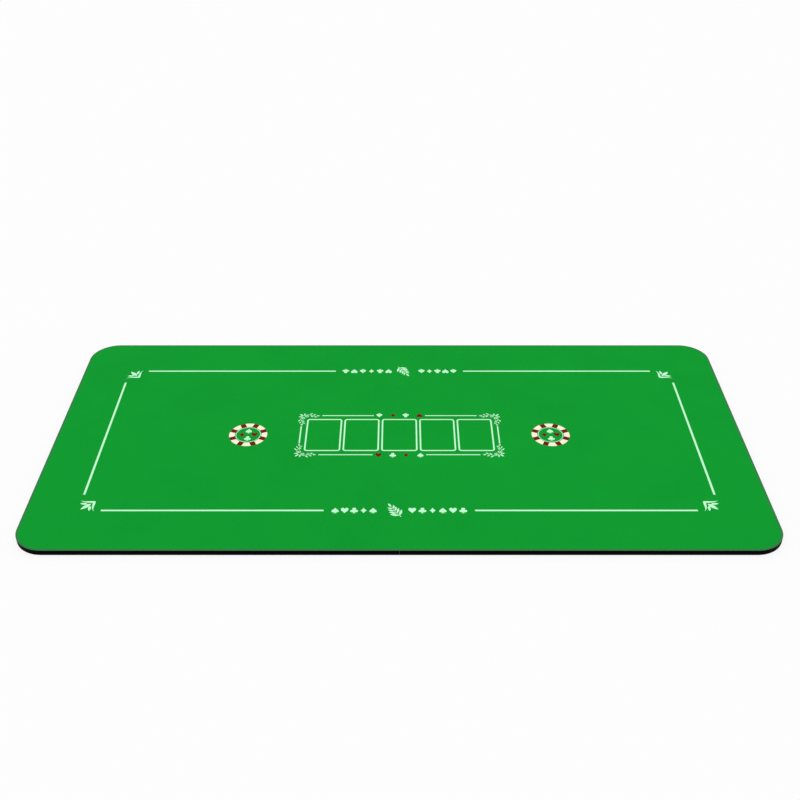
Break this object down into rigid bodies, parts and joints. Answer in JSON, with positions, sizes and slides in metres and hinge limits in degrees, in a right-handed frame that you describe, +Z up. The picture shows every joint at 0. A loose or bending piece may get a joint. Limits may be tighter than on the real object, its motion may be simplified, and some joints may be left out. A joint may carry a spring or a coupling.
{
  "type": "folding poker table top",
  "caption": "Flat rectangular card table top with rounded corners: two padded boards under one printed cloth, hinged on the centre line to fold in half, cloth inside.",
  "frame": {"origin": "centre of the underside on the fold line, with the top lying open", "axes": "+X along the length towards the half that swings over, +Y across the width, +Z up out of the playing face"},
  "size_m": [1.8, 0.9, 0.0152],
  "materials": {
    "core_board": "bare medium-density fibreboard, sawn edges",
    "foam_pad": "fine closed-cell foam sheet, matte",
    "playing_cloth": "short-napped woven speed cloth, green",
    "edge_trim": "black flexible T-moulding, satin",
    "fold_edge_band": "black edge band, satin",
    "base_mat": "black moulded non-slip rubber, ribbed",
    "hinge_tape": "plain woven cotton tape",
    "white_ink": "screen-printed ink in the cloth, matte white",
    "cream_ink": "screen-printed ink in the cloth, matte cream",
    "red_ink": "screen-printed ink in the cloth, matte dark red"
  },
  "bodies": {
    "left_half": {"left_core_board": "core_board", "left_foam_pad": "foam_pad", "left_playing_cloth": "playing_cloth", "left_edge_trim": "edge_trim", "left_fold_edge_band": "fold_edge_band", "left_base_mat": "base_mat", "left_hinge_tape": "hinge_tape", "left_border_lines": "white_ink", "left_corner_fleurons": "white_ink", "left_title_signs": "white_ink", "left_title_sprigs": "white_ink", "left_card_boxes": "white_ink", "left_center_card_box": "white_ink", "left_card_frame": "white_ink", "left_frame_scrolls": "white_ink", "left_white_pips": "white_ink", "left_red_pips": "red_ink", "left_medallion_ring": "cream_ink", "left_medallion_spots": "red_ink", "left_medallion_signs": "white_ink"},
    "right_half": {"right_core_board": "core_board", "right_foam_pad": "foam_pad", "right_playing_cloth": "playing_cloth", "right_edge_trim": "edge_trim", "right_fold_edge_band": "fold_edge_band", "right_base_mat": "base_mat", "right_hinge_tape": "hinge_tape", "right_border_lines": "white_ink", "right_corner_fleurons": "white_ink", "right_title_signs": "white_ink", "right_title_sprigs": "white_ink", "right_card_boxes": "white_ink", "right_center_card_box": "white_ink", "right_card_frame": "white_ink", "right_frame_scrolls": "white_ink", "right_white_pips": "white_ink", "right_red_pips": "red_ink", "right_medallion_ring": "cream_ink", "right_medallion_spots": "red_ink", "right_medallion_signs": "white_ink"}
  },
  "joints": [
    {"name": "fold", "type": "hinge", "parent": "left_half", "child": "right_half", "pos_m": [0, 0, 0.01535], "axis": [0, -1, 0], "range_deg": [0, 180]}
  ]
}
